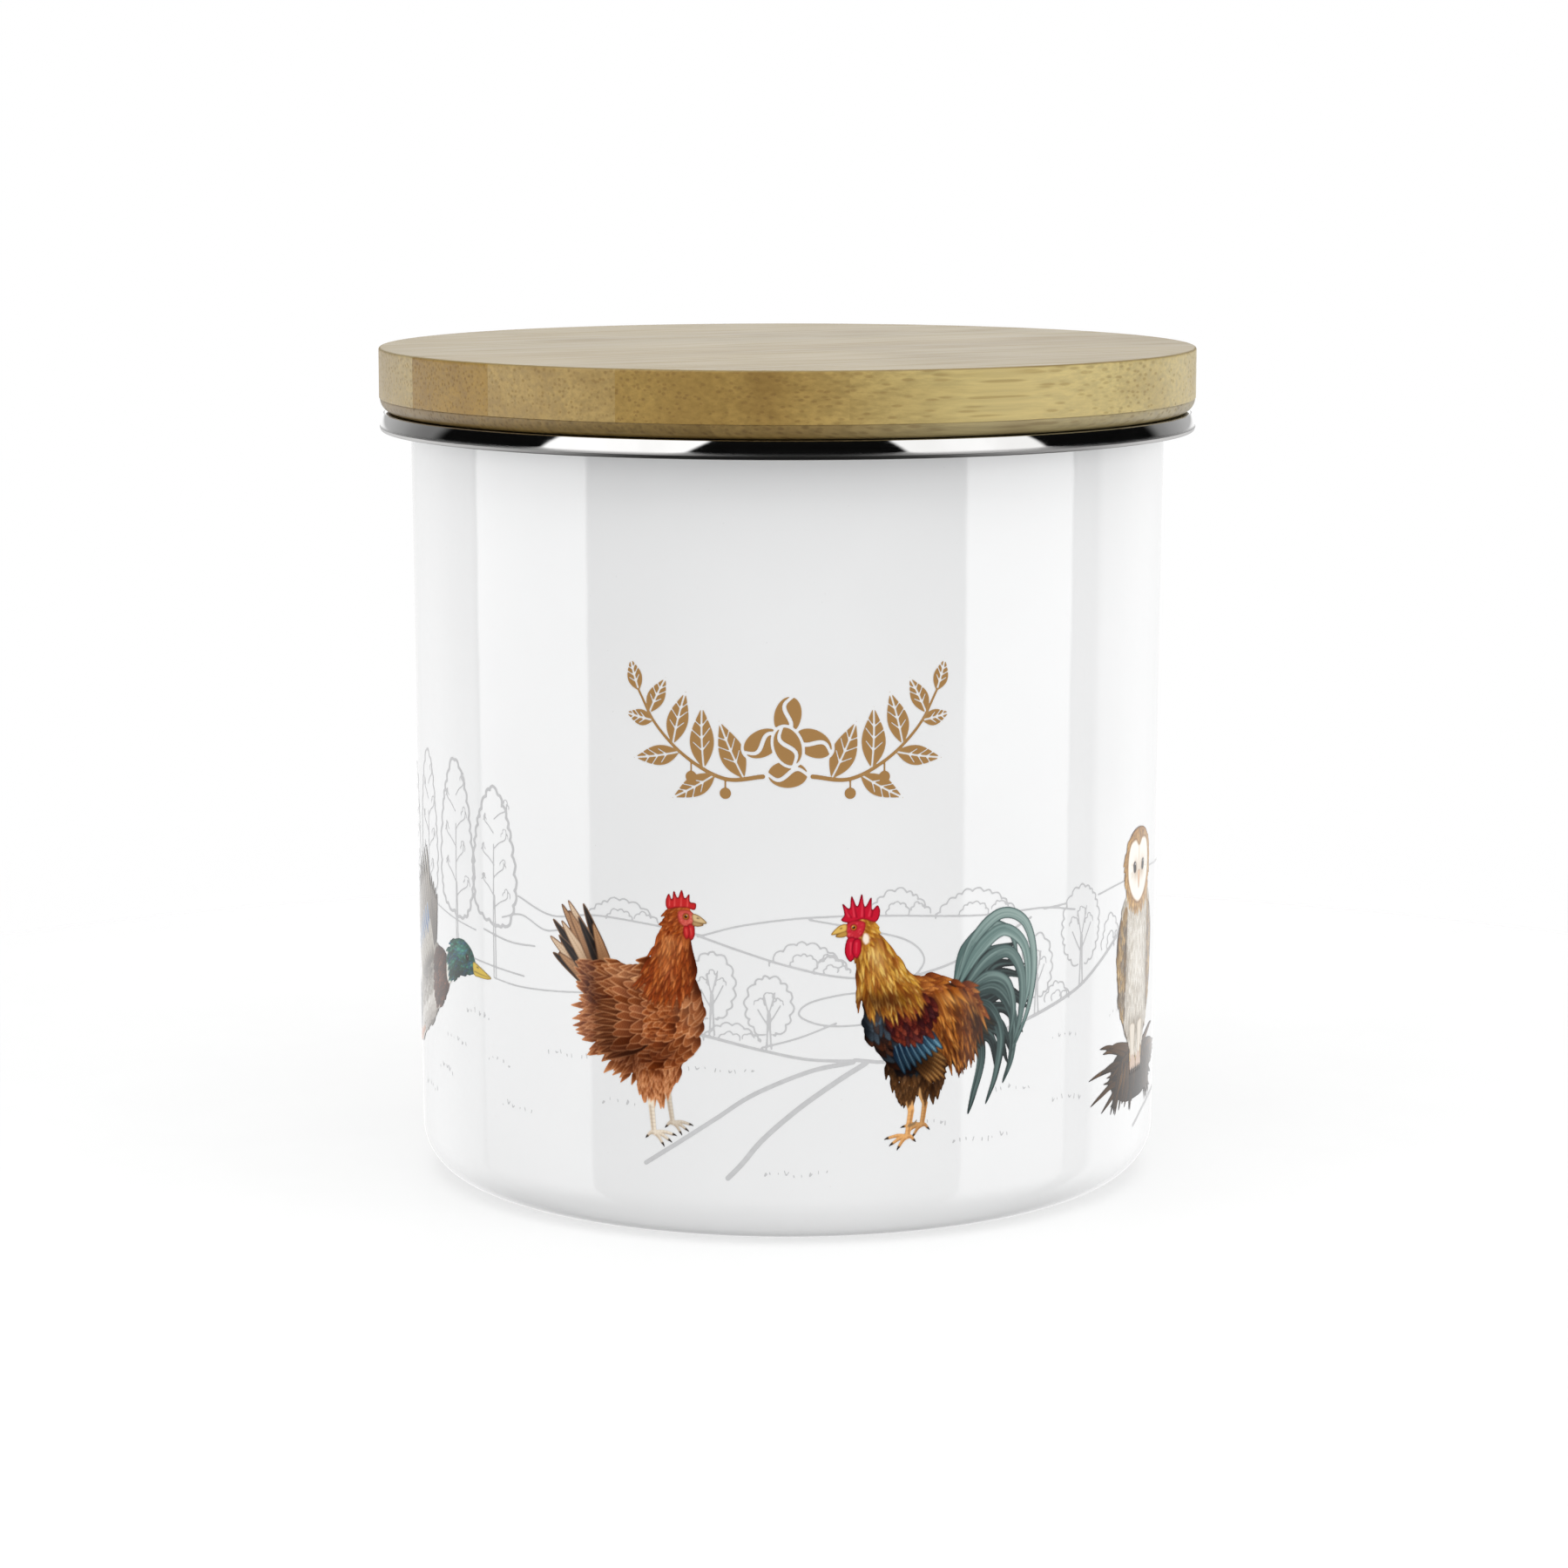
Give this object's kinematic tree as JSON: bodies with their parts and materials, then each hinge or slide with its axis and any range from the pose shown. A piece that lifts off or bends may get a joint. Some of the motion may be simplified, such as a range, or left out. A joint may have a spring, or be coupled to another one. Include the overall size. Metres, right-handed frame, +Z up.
{
  "type": "enamelled storage canister with bamboo lid",
  "caption": "Round white enamelled steel canister with a polished stainless rim and a thick bamboo lid that pushes in on a silicone ring.",
  "frame": {"origin": "centre of the foot ring's resting plane, on the canister's axis", "axes": "+Z up along the canister's axis towards the lid, -Y towards the middle of the printed front, +X to the viewer's right"},
  "size_m": [0.12, 0.12, 0.1224],
  "materials": {
    "enamel_outside": "glossy white vitreous enamel with fired-on printed birds and a pale line landscape",
    "enamel_inside": "glossy white vitreous enamel",
    "sheet_steel": "pickled sheet steel, hidden between the enamel coats",
    "stainless": "polished stainless steel",
    "bamboo_upper": "oiled bamboo strips, satin",
    "bamboo_lower": "oiled bamboo strips, satin",
    "silicone": "translucent white silicone rubber"
  },
  "bodies": {
    "canister": {"enamel_outer": "enamel_outside", "steel_shell": "sheet_steel", "enamel_inner": "enamel_inside", "rim_band": "stainless"},
    "seal": {"seal_ring": "silicone"},
    "lid": {"upper_strip_1": "bamboo_upper", "upper_strip_2": "bamboo_upper", "upper_strip_3": "bamboo_upper", "upper_strip_4": "bamboo_upper", "upper_strip_5": "bamboo_upper", "upper_strip_6": "bamboo_upper", "upper_strip_7": "bamboo_upper", "lower_strip_1": "bamboo_lower", "lower_strip_2": "bamboo_lower", "lower_strip_3": "bamboo_lower", "lower_strip_4": "bamboo_lower", "lower_strip_5": "bamboo_lower", "lower_strip_6": "bamboo_lower", "lower_strip_7": "bamboo_lower"}
  },
  "joints": [
    {"name": "lid_lift", "type": "slide", "parent": "canister", "child": "seal", "axis": [0, 0, 1], "range_m": [0, 0.08]},
    {"name": "lid_turn", "type": "hinge", "parent": "seal", "child": "lid", "pos_m": [0, 0, 0.1101], "axis": [0, 0, 1], "continuous": true}
  ]
}
